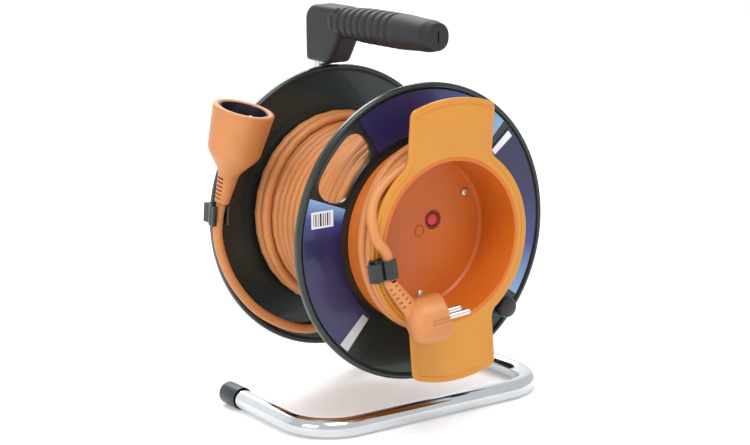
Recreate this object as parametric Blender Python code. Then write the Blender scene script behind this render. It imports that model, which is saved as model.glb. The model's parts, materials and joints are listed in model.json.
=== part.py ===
"""Extension cord reel on a bent-tube stand.

Lengths are metres.  Every piece is placed from the reel centre: the point on the drum's axis midway
between the two flanges, with +X to the user's right, +Y to the back and +Z up.  The drum turns about Y.
"""
import math

import bmesh
import bpy
from mathutils import Matrix, Vector

# ---- driving dimensions -------------------------------------------------------------------------
AXIS_HEIGHT = 0.150          # drum axis above the floor
REEL_X = 0.0005              # reel centre from the middle of the footprint, sideways
REEL_Y = 0.0029              # and front to back

FLANGE_RADIUS = 0.120
WINDING_WIDTH = 0.124        # between the flanges' inner faces
WEB = 0.003                  # flange web thickness
BEAD = 0.0048                # width of the rolled rim
BARREL_RADIUS = 0.060
NECK_OPENING = 0.0648        # hole in the front flange

RIM_Y = -0.1024              # front plane of the winged hub
PLATE = 0.0036               # thickness of its ring and wings
CUP_RADIUS = 0.0629
CUP_FLOOR_Y = -0.0600
RING_RADIUS = 0.0750
WING_HALF_WIDTH = 0.040
WING_RADIUS = 0.1130
WING_CORNER = 0.007
WING_FILLET = 0.012

TUBE_RADIUS = 0.008
POST_Y = 0.0765
FOOT_HALF_WIDTH = 0.115
FOOT_FRONT_Y = -0.080
FOOT_BEND = 0.040
POST_BEND = 0.060
GRIP_BEND = 0.028
GRIP_Z = 0.1570

CORD_RADIUS = 0.004
SCREW_CIRCLE = 0.052
SCREW_ANGLES = (30.0, 150.0, 270.0)
SCREW_HOLE = 0.0019
GAP = 0.0003                 # between pieces that touch

PIN_OFFSET = 0.0095          # half the distance between the plug's two pins
CUTOUT_X, CUTOUT_Z = 0.0130, 0.0075
KNOB_CIRCLE, KNOB_ANGLE = 0.097, -45.0

COUPLER_RIM = Vector((-0.1043, 0.0326, 0.0979))
COUPLER_AXIS = Vector((0.1751, -0.2084, 1.0)).normalized()
PLUG_FACE = Vector((-0.0259, -0.1254, -0.0510))
PLUG_AXIS = Vector((0.954, -0.252, 0.161)).normalized()
PLUG_PIN_LINE = Vector((0.271, 0.957, -0.106)).normalized()


# ---- materials ----------------------------------------------------------------------------------
def material(name, colour, roughness, metallic=0.0):
    made = bpy.data.materials.new(name)
    made.use_nodes = True
    shader = made.node_tree.nodes["Principled BSDF"]
    shader.inputs["Base Color"].default_value = (*colour, 1.0)
    shader.inputs["Roughness"].default_value = roughness
    shader.inputs["Metallic"].default_value = metallic
    return made


for startup in list(bpy.data.objects):
    bpy.data.objects.remove(startup)

CHROME = material("chrome", (0.72, 0.73, 0.74), 0.12, 1.0)
STEEL = material("zinc_steel", (0.60, 0.60, 0.58), 0.35, 1.0)
BRASS = material("brass", (0.70, 0.50, 0.22), 0.30, 1.0)
SPRING_STEEL = material("spring_steel", (0.40, 0.41, 0.42), 0.30, 1.0)
GREEN_PLASTIC = material("flange_plastic", (0.012, 0.020, 0.020), 0.35)
AMBER_PLASTIC = material("hub_plastic", (0.72, 0.29, 0.035), 0.35)
BLACK_PLASTIC = material("black_plastic", (0.012, 0.013, 0.016), 0.45)
GREY_PLASTIC = material("grey_plastic", (0.20, 0.20, 0.21), 0.50)
NYLON = material("natural_nylon", (0.70, 0.68, 0.62), 0.45)
GRIP_RUBBER = material("grip_rubber", (0.018, 0.018, 0.022), 0.60)
ORANGE_PVC = material("orange_pvc", (0.72, 0.20, 0.055), 0.42)
RED_PLASTIC = material("red_plastic", (0.55, 0.01, 0.03), 0.30)
DARK_RED = material("dark_red_plastic", (0.20, 0.02, 0.01), 0.40)
LABEL_FILM = material("label_film", (0.02, 0.02, 0.12), 0.30)


# ---- modelling helpers --------------------------------------------------------------------------
def empty(name, location, parent=None):
    made = bpy.data.objects.new(name, None)
    made.location = location
    made.parent = parent
    bpy.context.scene.collection.objects.link(made)
    return made


REEL = empty("reel_centre", (REEL_X, REEL_Y, AXIS_HEIGHT))


def piece(name, mesh_builder, finish, parent=REEL, location=(0, 0, 0), rotation=None):
    """One object from a bmesh, with its faces turned outwards."""
    bmesh.ops.recalc_face_normals(mesh_builder, faces=mesh_builder.faces[:])
    mesh = bpy.data.meshes.new(name)
    mesh_builder.to_mesh(mesh)
    mesh_builder.free()
    mesh.materials.append(finish)
    mesh.shade_smooth()
    mesh.set_sharp_from_angle(angle=math.radians(35))
    made = bpy.data.objects.new(name, mesh)
    made.parent = parent
    made.location = location
    if rotation is not None:
        made.rotation_mode = "QUATERNION"
        made.rotation_quaternion = rotation
    bpy.context.scene.collection.objects.link(made)
    return made


def bridge(builder, rings, closed):
    """Quads between neighbouring rings of vertices, and caps on an open row."""
    count = len(rings[0])
    pairs = list(zip(rings, rings[1:]))
    if closed:
        pairs.append((rings[-1], rings[0]))
    for low, high in pairs:
        for i in range(count):
            j = (i + 1) % count
            builder.faces.new((low[i], low[j], high[j], high[i]))
    if not closed:
        builder.faces.new(rings[0][::-1])
        builder.faces.new(rings[-1])


def turned(profile, segments, centre=(0.0, 0.0)):
    """A closed (radius, y) profile turned about the Y direction; radius 0 makes a pole."""
    builder = bmesh.new()
    columns = []
    for radius, y in profile:
        if radius == 0.0:
            columns.append([builder.verts.new((centre[0], y, centre[1]))])
            continue
        column = []
        for i in range(segments):
            angle = 2 * math.pi * (i + 0.5) / segments
            column.append(builder.verts.new((centre[0] + radius * math.cos(angle), y,
                                             centre[1] + radius * math.sin(angle))))
        columns.append(column)
    for first, second in zip(columns, columns[1:] + columns[:1]):
        for i in range(segments):
            j = (i + 1) % segments
            if len(first) == 1 and len(second) == 1:
                break
            if len(first) == 1:
                builder.faces.new((first[0], second[i], second[j]))
            elif len(second) == 1:
                builder.faces.new((first[i], first[j], second[0]))
            else:
                builder.faces.new((first[i], first[j], second[j], second[i]))
    return builder


def plate(outline, y0, y1):
    """An (x, z) outline extruded along Y."""
    builder = bmesh.new()
    rings = [[builder.verts.new((x, y, z)) for x, z in outline] for y in (y0, y1)]
    bridge(builder, rings, closed=False)
    return builder


def box(low, high):
    (x0, y0, z0), (x1, y1, z1) = low, high
    return plate([(x0, z0), (x1, z0), (x1, z1), (x0, z1)], y0, y1)


def rod(start, end, radius, sides=16):
    return sweep([Vector(start), Vector(end)], radius, sides)


def sweep(points, radius, sides, start_normal=None, bore=0.0):
    """A round bar, or a pipe when bore is given, along points, with its frame carried along."""
    builder = bmesh.new()
    tangents = []
    for i in range(len(points)):
        ahead = points[min(i + 1, len(points) - 1)]
        behind = points[max(i - 1, 0)]
        tangents.append((ahead - behind).normalized())
    normal = start_normal or tangents[0].orthogonal()
    outer = []
    inner = []
    for i, (point, tangent) in enumerate(zip(points, tangents)):
        if i:
            normal = tangents[i - 1].rotation_difference(tangent) @ normal
        normal = (normal - tangent * normal.dot(tangent)).normalized()
        side = tangent.cross(normal)
        for wanted, rings in ((radius, outer), (bore, inner)):
            if wanted == 0.0:
                continue
            corner = wanted / math.cos(math.pi / sides)
            ring = []
            for k in range(sides):
                angle = 2 * math.pi * (k + 0.5) / sides
                ring.append(builder.verts.new(point + corner * (math.cos(angle) * normal
                                                                + math.sin(angle) * side)))
            rings.append(ring)
    bridge(builder, outer + inner[::-1], closed=bool(inner))
    return builder


def cut(target, cutter, operation="DIFFERENCE"):
    """A Boolean by a hidden helper object, kept as a modifier."""
    cutter.hide_render = True
    cutter.display_type = "WIRE"
    modifier = target.modifiers.new(operation.lower(), "BOOLEAN")
    modifier.operation = operation
    modifier.object = cutter
    modifier.solver = "EXACT"


def drill(target, name, start, end, radius, sides=16):
    cut(target, piece(name, rod(start, end, radius, sides), STEEL, target.parent))


def join_on(target, name, builder):
    cut(target, piece(name, builder, STEEL, target.parent), "UNION")


def polar(radius, degrees, y=0.0):
    angle = math.radians(degrees)
    return Vector((radius * math.cos(angle), y, radius * math.sin(angle)))


def arc(centre, radius, start, end, steps):
    """Points of an arc in a plane, from start to end in degrees."""
    made = []
    for i in range(steps + 1):
        angle = math.radians(start + (end - start) * i / steps)
        made.append((centre[0] + radius * math.cos(angle), centre[1] + radius * math.sin(angle)))
    return made


def rounded_path(corners, radii, steps=6):
    """A path through corners, each rounded to its own radius."""
    path = [corners[0]]
    for before, corner, after, radius in zip(corners, corners[1:], corners[2:], radii):
        back = (before - corner).normalized()
        ahead = (after - corner).normalized()
        half = back.angle(ahead) / 2
        reach = radius / math.tan(half)
        centre = corner + (back + ahead).normalized() * (radius / math.sin(half))
        first = corner + back * reach - centre
        last = corner + ahead * reach - centre
        for i in range(steps + 1):
            path.append(centre + radius * first.slerp(last, i / steps))
    path.append(corners[-1])
    return path


def smooth_route(points, spacing):
    """Evenly spaced points of a Catmull-Rom curve through the route's own points."""
    padded = [2 * points[0] - points[1]] + points + [2 * points[-1] - points[-2]]
    fine = []
    for a, b, c, d in zip(padded, padded[1:], padded[2:], padded[3:]):
        for i in range(20):
            t = i / 20
            fine.append(0.5 * (2 * b + (c - a) * t + (2 * a - 5 * b + 4 * c - d) * t ** 2
                               + (3 * b - a - 3 * c + d) * t ** 3))
    fine.append(points[-1])
    length = sum((q - p).length for p, q in zip(fine, fine[1:]))
    count = max(2, round(length / spacing))
    made = [fine[0]]
    walked = 0.0
    for p, q in zip(fine, fine[1:]):
        step = (q - p).length
        while len(made) < count and walked + step >= length * len(made) / count:
            made.append(p.lerp(q, (length * len(made) / count - walked) / step))
        walked += step
    made.append(fine[-1])
    return made


def cord_tube(name, points):
    """A plain round cord as a curve with a bevel and filled caps."""
    curve = bpy.data.curves.new(name, "CURVE")
    curve.dimensions = "3D"
    curve.bevel_depth = CORD_RADIUS
    curve.bevel_resolution = 2
    curve.render_resolution_u = 0
    curve.use_fill_caps = True
    spline = curve.splines.new("POLY")
    spline.points.add(len(points) - 1)
    for slot, point in zip(spline.points, points):
        slot.co = (*point, 1.0)
    curve.materials.append(ORANGE_PVC)
    made = bpy.data.objects.new(name, curve)
    made.parent = REEL
    bpy.context.scene.collection.objects.link(made)
    return made


# ---- stand: one bent tube, its grip and its end cap ----------------------------------------------
def stand_path(top_y):
    floor = TUBE_RADIUS - AXIS_HEIGHT
    corners = [
        Vector((0, top_y, GRIP_Z)),
        Vector((0, POST_Y, GRIP_Z)),
        Vector((0, POST_Y, floor)),
        Vector((FOOT_HALF_WIDTH, POST_Y, floor)),
        Vector((FOOT_HALF_WIDTH, FOOT_FRONT_Y, floor)),
        Vector((-FOOT_HALF_WIDTH, FOOT_FRONT_Y, floor)),
        Vector((-FOOT_HALF_WIDTH, 0.0505, floor + 0.0012)),
    ]
    return rounded_path(corners, (GRIP_BEND, POST_BEND, FOOT_BEND, FOOT_BEND, FOOT_BEND))


def make_stand():
    sideways = Vector((1, 0, 0))
    tube = piece("stand_tube", sweep(stand_path(-0.055), TUBE_RADIUS, 12, sideways, bore=0.0068), CHROME)
    drill(tube, "post_hole_cutter", (0, POST_Y - 0.02, 0), (0, POST_Y + 0.02, 0), 0.0053)
    cap_z = 0.0092 - AXIS_HEIGHT
    profile = [(0.0, 0.0530), (0.0078, 0.0530), (0.0092, 0.0516), (0.0092, 0.0290), (0.0087, 0.0290),
               (0.0087, 0.0510), (0.0, 0.0510)]
    piece("tube_end_cap", turned(profile, 16, (-FOOT_HALF_WIDTH, cap_z)), BLACK_PLASTIC)


def make_grip():
    """Moulded grip: a bar along Y and a leg with a gusset, over the bent top of the tube."""
    stations = ((0.0865, 0.0065, 0.0060), (0.0850, 0.0100, 0.0100), (0.0760, 0.0128, 0.0126),
                (0.0350, 0.0138, 0.0144), (0.0, 0.0136, 0.0143), (-0.0400, 0.0128, 0.0128),
                (-0.0600, 0.0105, 0.0110))
    builder = bmesh.new()
    rings = []
    for forward, half_width, half_height in stations:
        rise = 0.0008 if forward < 0.08 else 0.0
        ring = []
        for k in range(20):
            angle = 2 * math.pi * (k + 0.5) / 20
            height = GRIP_Z + rise + half_height * math.sin(angle)
            ring.append(builder.verts.new((half_width * math.cos(angle), -forward, height)))
        rings.append(ring)
    bridge(builder, rings, closed=False)
    grip = piece("handle_grip", builder, GRIP_RUBBER)

    back_y = POST_Y + 0.0100
    outline = [(0.0510, 0.1225), (back_y, 0.1225)] + arc((back_y - 0.014, 0.1560), 0.014, 0, 90, 5)
    outline += [(0.0400, 0.1700), (0.0385, 0.1440)]
    leg_builder = bmesh.new()
    leg_rings = [[leg_builder.verts.new((x, y, z)) for y, z in outline] for x in (-0.0102, 0.0102)]
    bridge(leg_builder, leg_rings, closed=False)
    leg = piece("grip_leg_helper", leg_builder, GRIP_RUBBER)
    bevel = leg.modifiers.new("rounding", "BEVEL")
    bevel.width = 0.0035
    bevel.segments = 2
    bevel.limit_method = "ANGLE"
    bevel.angle_limit = math.radians(50)
    cut(grip, leg, "UNION")
    tube_space = sweep(stand_path(-0.0555)[:12], TUBE_RADIUS + 2 * GAP, 12, Vector((1, 0, 0)))
    bore = piece("grip_bore_cutter", tube_space, GRIP_RUBBER)
    cut(grip, bore)


# ---- axle ---------------------------------------------------------------------------------------
def make_axle():
    bolt = [(0.0, -0.0290), (0.0085, -0.0285), (0.0100, -0.0262), (0.0100, -0.0238), (0.0050, -0.0238),
            (0.0050, 0.0966), (0.0, 0.0966)]
    piece("axle_bolt", turned(bolt, 24), STEEL)
    ring_piece("axle_front_washer", 0.0053, 0.0110, -0.0235, -0.0217, STEEL)
    ring_piece("axle_spacer", 0.0053, 0.0105, 0.0653, 0.0682, NYLON)
    tube_back = POST_Y + TUBE_RADIUS
    ring_piece("axle_rear_washer", 0.0053, 0.0100, tube_back + 0.0004, tube_back + 0.0018, STEEL)
    hexagon = plate(arc((0, 0), 0.0098, 0, 300, 5), 0.0867, 0.0945)
    nut = piece("axle_nut", hexagon, STEEL)
    drill(nut, "nut_bore_cutter", (0, 0.08, 0), (0, 0.10, 0), 0.0053)


def ring_piece(name, inner, outer, y0, y1, finish, segments=24, centre=(0.0, 0.0), parent=REEL):
    profile = [(inner, y0), (outer, y0), (outer, y1), (inner, y1)]
    return piece(name, turned(profile, segments, centre), finish, parent)


# ---- drum ---------------------------------------------------------------------------------------
def flange_profile(inner_radius, side):
    """side is +1 for the rear flange and -1 for the front one."""
    inside = WINDING_WIDTH / 2
    rim = FLANGE_RADIUS
    profile = [(inner_radius, inside), (rim - BEAD, inside), (rim - BEAD + 0.001, inside - 0.0015),
               (rim - 0.0012, inside - 0.0015), (rim, inside), (rim, inside + WEB + 0.0010),
               (rim - 0.0012, inside + WEB + 0.0025), (rim - BEAD + 0.001, inside + WEB + 0.0025),
               (rim - BEAD, inside + WEB), (inner_radius, inside + WEB)]
    return [(radius, side * y) for radius, y in profile]


def window_outline(inner, outer, start, end, corner):
    """A ring sector with rounded corners, in the (x, z) plane."""
    points = []
    inner_turn = math.degrees(math.asin(corner / (inner + corner)))
    outer_turn = math.degrees(math.asin(corner / (outer - corner)))
    points += arc((0, 0), inner, end - inner_turn, start + inner_turn, 5)
    points += corner_arc(inner + corner, start + inner_turn, corner, start + inner_turn + 180, start + 270 )
    points += corner_arc(outer - corner, start + outer_turn, corner, start - 90, start + outer_turn)
    points += arc((0, 0), outer, start + outer_turn, end - outer_turn, 6)
    points += corner_arc(outer - corner, end - outer_turn, corner, end - outer_turn, end + 90)
    points += corner_arc(inner + corner, end - inner_turn, corner, end + 90, end - inner_turn + 180)
    cleaned = []
    for point in points:
        if not cleaned or math.dist(point, cleaned[-1]) > 0.0002:
            cleaned.append(point)
    return cleaned


def corner_arc(radius, degrees, corner, start, end):
    centre = polar(radius, degrees)
    return arc((centre.x, centre.z), corner, start, end, 5)


def make_flanges():
    rear = piece("rear_flange", turned(flange_profile(0.0060, 1), 48), GREEN_PLASTIC)
    front = piece("front_flange", turned(flange_profile(NECK_OPENING, -1), 48), GREEN_PLASTIC)
    for number, degrees in enumerate(SCREW_ANGLES, 1):
        inner_end = polar(SCREW_CIRCLE, degrees, 0.055)
        outer_end = polar(SCREW_CIRCLE, degrees, 0.075)
        drill(rear, f"rear_flange_hole_cutter_{number}", inner_end, outer_end, SCREW_HOLE, 8)
    opening = plate(window_outline(0.0810, 0.1110, 124, 158, 0.0125), -0.075, -0.055)
    cut(front, piece("window_cutter", opening, STEEL))
    knob = polar(KNOB_CIRCLE, KNOB_ANGLE)
    drill(front, "knob_hole_cutter", knob + Vector((0, -0.075, 0)), knob + Vector((0, -0.055, 0)), 0.0032, 12)


def make_barrel():
    inside = WINDING_WIDTH / 2 - GAP
    profile = [(0.0090, -0.0200), (0.0570, -0.0200), (0.0570, -0.0565), (0.0665, -0.0565), (0.0665, -inside),
               (0.0700, -inside), (0.0700, -0.0535), (BARREL_RADIUS, -0.0535), (BARREL_RADIUS, inside),
               (0.0570, inside), (0.0570, -0.0170), (0.0125, -0.0170), (0.0125, inside), (0.0090, inside)]
    barrel = piece("barrel", turned(profile, 48), GREEN_PLASTIC)
    for number, degrees in enumerate(SCREW_ANGLES, 1):
        front_end = polar(SCREW_CIRCLE, degrees, -0.0560)
        boss = rod(front_end, polar(SCREW_CIRCLE, degrees, inside - GAP), 0.0055, 8)
        join_on(barrel, f"boss_{number}", boss)
    for number, degrees in enumerate(SCREW_ANGLES, 1):
        for end, y0, y1 in (("front", -0.070, -0.040), ("rear", 0.045, 0.070)):
            low_end = polar(SCREW_CIRCLE, degrees, y0)
            high_end = polar(SCREW_CIRCLE, degrees, y1)
            drill(barrel, f"boss_{end}_hole_cutter_{number}", low_end, high_end, SCREW_HOLE, 8)
    drill(barrel, "cord_entry_cutter", polar(0.050, 20, -0.040), polar(0.068, 20, -0.040), 0.0045, 12)


def wing_outline(side):
    """The top (+1) or bottom (-1) wing, with its fillets into the ring."""
    reach = RING_RADIUS + WING_FILLET
    fillet = (WING_HALF_WIDTH + WING_FILLET, math.sqrt(reach ** 2 - (WING_HALF_WIDTH + WING_FILLET) ** 2))
    leave = math.degrees(math.atan2(fillet[1], fillet[0]))
    inner = WING_RADIUS - WING_CORNER
    corner_x = WING_HALF_WIDTH - WING_CORNER
    corner = (corner_x, math.sqrt(inner ** 2 - corner_x ** 2))
    tip = math.degrees(math.atan2(corner[1], corner[0]))
    right = arc(fillet, WING_FILLET, leave + 180, 180, 4) + arc(corner, WING_CORNER, 0, tip, 4)
    crown = arc((0, 0), WING_RADIUS, tip, 180 - tip, 8)[1:-1]
    left = [(-x, z) for x, z in right[::-1]]
    root = arc((0, 0), (CUP_RADIUS + RING_RADIUS) / 2, 180 - leave, leave, 8)
    return [(x, side * z) for x, z in right + crown + left + root]


def make_winged_hub():
    back = RIM_Y + PLATE
    profile = [(0.0, CUP_FLOOR_Y), (0.0613, CUP_FLOOR_Y), (CUP_RADIUS, RIM_Y), (RING_RADIUS, RIM_Y),
               (RING_RADIUS, back), (0.0665, back), (0.0672, -0.0850), (0.0700, -0.0740), (0.0730, -0.0653),
               (0.0706, -0.0653), (0.0682, -0.0745), (0.0652, -0.0835), (0.0642, -0.0568), (0.0, -0.0568)]
    hub = piece("winged_hub", turned(profile, 48), AMBER_PLASTIC)
    for name, side in (("top", 1), ("bottom", -1)):
        inset = 0.0001
        join_on(hub, f"{name}_wing", plate(wing_outline(side), RIM_Y + inset, back - inset))
    for number, degrees in enumerate(SCREW_ANGLES, 1):
        outer_end = polar(SCREW_CIRCLE, degrees, -0.07)
        inner_end = polar(SCREW_CIRCLE, degrees, -0.05)
        drill(hub, f"hub_hole_cutter_{number}", outer_end, inner_end, SCREW_HOLE, 8)
    drill(hub, "cutout_hole_cutter", (CUTOUT_X, -0.07, CUTOUT_Z), (CUTOUT_X, -0.05, CUTOUT_Z), 0.0080, 20)


def make_screws():
    for number, degrees in enumerate(SCREW_ANGLES, 1):
        spot = polar(SCREW_CIRCLE, degrees)
        front = [(0.0, -0.0622), (0.0022, -0.0621), (0.0035, -0.0612), (0.0035, -0.0603), (0.0015, -0.0603),
                 (0.0015, -0.0450), (0.0, -0.0442)]
        piece(f"hub_screw_{number}", turned(front, 12, (spot.x, spot.z)), STEEL)
        rear = [(0.0, 0.0492), (0.0015, 0.0500), (0.0015, 0.0653), (0.0035, 0.0653), (0.0035, 0.0662),
                (0.0022, 0.0671), (0.0, 0.0672)]
        piece(f"rear_screw_{number}", turned(rear, 12, (spot.x, spot.z)), STEEL)


def make_bushings():
    front = [(0.00512, -0.0213), (0.0115, -0.0213), (0.0115, -0.0203), (0.0088, -0.0203), (0.0088, -0.0080),
             (0.00512, -0.0080)]
    piece("front_bushing", turned(front, 24), NYLON)
    ring_piece("rear_bushing", 0.00512, 0.0088, 0.0490, 0.0615, NYLON)


def make_cutout():
    """Thermal cut-out behind the cup floor, with its sprung reset button."""
    ring_piece("cutout_bezel", 0.0058, 0.0078, -0.0596, -0.0571, DARK_RED, 20, (CUTOUT_X, CUTOUT_Z))
    low = (CUTOUT_X - 0.0120, -0.0565, CUTOUT_Z - 0.0090)
    high = (CUTOUT_X + 0.0120, -0.0330, CUTOUT_Z + 0.0090)
    housing = piece("cutout_housing", box(low, high), BLACK_PLASTIC)
    bore_front = (CUTOUT_X, -0.0600, CUTOUT_Z)
    bore_back = (CUTOUT_X, -0.0435, CUTOUT_Z)
    drill(housing, "button_bore_cutter", bore_front, bore_back, 0.0056, 20)
    axis = empty("button_axis", (CUTOUT_X, -0.0600, CUTOUT_Z), REEL)
    profile = [(0.0, -0.0006), (0.0042, -0.0004), (0.0053, 0.0004), (0.0053, 0.0095), (0.0030, 0.0095),
               (0.0030, 0.0130), (0.0, 0.0130)]
    piece("reset_button", turned(profile, 20), RED_PLASTIC, axis)
    coils, steps, wire, coil_radius = 4, 8, 0.0004, 0.0042
    low_y, high_y = -0.0499, -0.0440
    helix = []
    for i in range(coils * steps + 1):
        angle = 2 * math.pi * i / steps
        along = low_y + (high_y - low_y) * i / (coils * steps)
        across = coil_radius * math.cos(angle)
        upward = coil_radius * math.sin(angle)
        helix.append(Vector((CUTOUT_X + across, along, CUTOUT_Z + upward)))
    piece("reset_spring", sweep(helix, wire, 4), SPRING_STEEL)


def make_terminals():
    body = box((-0.0330, -0.0325, -0.0270), (0.0010, -0.0203, -0.0130))
    block = piece("terminal_block", body, GREY_PLASTIC)
    for number in range(3):
        x = -0.0270 + 0.0110 * number
        drill(block, f"terminal_cutter_{number}", (x, -0.0275, -0.030), (x, -0.0275, 0.0), 0.0020, 10)
    for name, degrees in (("main_cord_clamp", 20), ("plug_cord_clamp", 75)):
        centre = polar(0.0400, degrees)
        piece(name, box((centre.x - 0.0090, -0.0250, centre.z - 0.0040),
                        (centre.x + 0.0090, -0.0203, centre.z + 0.0040)), GREY_PLASTIC)


def make_knob():
    """Winding knob that spins freely on its pin in the front flange."""
    spot = polar(KNOB_CIRCLE, KNOB_ANGLE)
    pin = [(0.0, -0.0595), (0.0045, -0.0597), (0.0055, -0.0617), (0.0030, -0.0617), (0.0030, -0.0830),
           (0.0, -0.0830)]
    piece("knob_pin", turned(pin, 16, (spot.x, spot.z)), STEEL)
    axis = empty("knob_axis", (spot.x, 0, spot.z), REEL)
    profile = [(0.0031, -0.0654), (0.0085, -0.0654), (0.0092, -0.0664), (0.0074, -0.0760), (0.0092, -0.0850),
               (0.0080, -0.0885), (0.0045, -0.0902), (0.0, -0.0906), (0.0, -0.0840), (0.0031, -0.0840)]
    piece("winding_knob", turned(profile, 20), BLACK_PLASTIC, axis)


def make_labels():
    for name, start, end in (("label_top", 45, 122), ("label_left", 159, 229), ("label_right", -35, 41)):
        steps = 10
        outline = arc((0, 0), 0.0800, start, end, steps) + arc((0, 0), 0.1145, end, start, steps)
        piece(name, plate(outline, -0.0658, -0.0654), LABEL_FILM)


# ---- cord on the drum ---------------------------------------------------------------------------
def make_windings():
    inside = WINDING_WIDTH / 2 - GAP
    main = [(0.0603, -0.0532), (0.0703, -0.0532), (0.0703, -inside), (0.0825, -inside), (0.0825, -0.0380),
            (0.0755, -0.0380), (0.0755, 0.0440), (0.0825, 0.0440), (0.0825, inside), (0.0603, inside)]
    piece("main_winding", turned(main, 48), ORANGE_PVC)
    plug_turn = [(0.0683, -0.0901), (0.0763, -0.0901), (0.0763, -0.0821), (0.0683, -0.0821)]
    piece("plug_lead_turn", turned(plug_turn, 48), ORANGE_PVC)


PLUG_LEAD_TURN_Y = -0.0945
PLUG_LEAD_TURN_RADIUS = 0.0717
HUB_CLIP_ANGLE = 189.0
CLIP_CHANNEL = (0.0672, -0.1115)     # radius and y of the channel that holds the lead


def section_point(section, degrees, along):
    """A (radius, y) point of a section stood at an angle, moved along the rim's direction."""
    radius, y = section
    return polar(radius, degrees, y) + along * polar(1.0, degrees + 90)


def plug_lead_route():
    """A full turn behind the ring, then over its edge, through the clip and down to the plug."""
    turn = [polar(PLUG_LEAD_TURN_RADIUS, degrees, PLUG_LEAD_TURN_Y) for degrees in range(168, 480, 24)]
    through_clip = [
        section_point(CLIP_CHANNEL, HUB_CLIP_ANGLE, -0.0080),
        section_point(CLIP_CHANNEL, HUB_CLIP_ANGLE, 0.0),
        section_point(CLIP_CHANNEL, HUB_CLIP_ANGLE, 0.0090),
    ]
    over = [
        polar(0.0721, 474, -0.0945),
        polar(0.0747, 489, -0.0945),
        polar(0.0784, 502, -0.0948),
        polar(0.0804, 511, -0.0972),
        polar(0.0804, 519, -0.1014),
        polar(0.0784, 527, -0.1064),
        polar(0.0742, 533, -0.1090),
        section_point(CLIP_CHANNEL, HUB_CLIP_ANGLE, -0.0140) + Vector((-0.0006, 0, 0)),
    ]
    return turn + over + through_clip


def relief_line():
    """Centre line of the plug's strain relief, from its cord end to its root in the plug body."""
    tip = section_point(CLIP_CHANNEL, HUB_CLIP_ANGLE, 0.0095)
    neck = section_point(CLIP_CHANNEL, HUB_CLIP_ANGLE, 0.0130)
    root = PLUG_FACE - 0.0245 * PLUG_AXIS + 0.0115 * plug_up()
    return tip, neck, root


def plug_up():
    return PLUG_AXIS.cross(PLUG_PIN_LINE).normalized()


def plug_frame():
    """Turns local +Y onto the plug's axis and local +Z onto its upper side."""
    columns = Matrix((PLUG_PIN_LINE, -PLUG_AXIS, plug_up())).transposed()
    return columns.to_quaternion()


def make_plug():
    """Angled mains plug; its local -Y is the way the pins point."""
    turn = plug_frame()
    body_profile = [(0.0, 0.0), (0.0176, 0.0), (0.0185, 0.0010), (0.0185, 0.0160), (0.0172, 0.0220),
                    (0.0140, 0.0262), (0.0085, 0.0285), (0.0, 0.0292)]
    body = piece("plug_body", turned(body_profile, 32), ORANGE_PVC, location=PLUG_FACE, rotation=turn)
    tip, neck, root = relief_line()
    relief = sweep([tip, neck, root, root + (root - neck).normalized() * 0.004], 0.0058, 12)
    relief_piece = piece("relief_helper", relief, ORANGE_PVC)
    cut(body, relief_piece, "UNION")
    for number, side in enumerate((-1, 1), 1):
        profile = [(0.0, -0.0190), (0.0016, -0.0188), (0.0024, -0.0178), (0.0024, -GAP), (0.0, -GAP)]
        pin = turned(profile, 12, (PIN_OFFSET * side, 0))
        piece(f"plug_pin_{number}", pin, STEEL, location=PLUG_FACE, rotation=turn)
    for name, side in (("upper", 1), ("lower", -1)):
        clip = box((-0.0030, -0.0006, side * 0.0140 - 0.0010), (0.0030, -0.0003, side * 0.0140 + 0.0010))
        piece(f"plug_earth_clip_{name}", clip, BRASS, location=PLUG_FACE, rotation=turn)


# ---- coupler on the other end -------------------------------------------------------------------
def coupler_frame():
    """Turns local -Y onto the coupler's axis, so that its open rim faces along the axis."""
    return Vector((0, -1, 0)).rotation_difference(COUPLER_AXIS)


def coupler_point(depth):
    return COUPLER_RIM - depth * COUPLER_AXIS


COUPLER_RELIEF_END = 0.0810


def make_coupler():
    turn = coupler_frame()
    outside = [(0.0243, 0.0), (0.0253, 0.0010), (0.0251, 0.0030), (0.0217, 0.0360), (0.0198, 0.0400),
               (0.0100, 0.0525), (0.0085, 0.0560), (0.0058, COUPLER_RELIEF_END), (0.0, COUPLER_RELIEF_END)]
    inside = [(0.0, 0.0335), (0.0200, 0.0335), (0.0200, 0.0)]
    piece("coupler_body", turned(outside + inside, 36), ORANGE_PVC, location=COUPLER_RIM, rotation=turn)
    cup = [(0.0188, 0.0008), (0.0197, 0.0008), (0.0197, 0.0332), (0.0, 0.0332), (0.0, 0.0170),
           (0.0188, 0.0170)]
    insert = piece("coupler_insert", turned(cup, 32), BLACK_PLASTIC, location=COUPLER_RIM, rotation=turn)
    for number, side in enumerate((-1, 1), 1):
        hole = rod((PIN_OFFSET * side, 0.010, 0), (PIN_OFFSET * side, 0.030, 0), 0.0030, 12)
        cut(insert, piece(f"contact_hole_cutter_{number}", hole, STEEL, location=COUPLER_RIM, rotation=turn))
        sleeve = [(0.0024, 0.0180), (0.0028, 0.0180), (0.0028, 0.0297), (0.0024, 0.0297)]
        piece(f"coupler_contact_{number}", turned(sleeve, 12, (PIN_OFFSET * side, 0)), BRASS,
              location=COUPLER_RIM, rotation=turn)
    earth = [(0.0, 0.0030), (0.0016, 0.0032), (0.0024, 0.0045), (0.0024, 0.0167), (0.0, 0.0167)]
    piece("coupler_earth_pin", turned(earth, 14, (0, -0.0100)), STEEL, location=COUPLER_RIM, rotation=turn)


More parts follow.
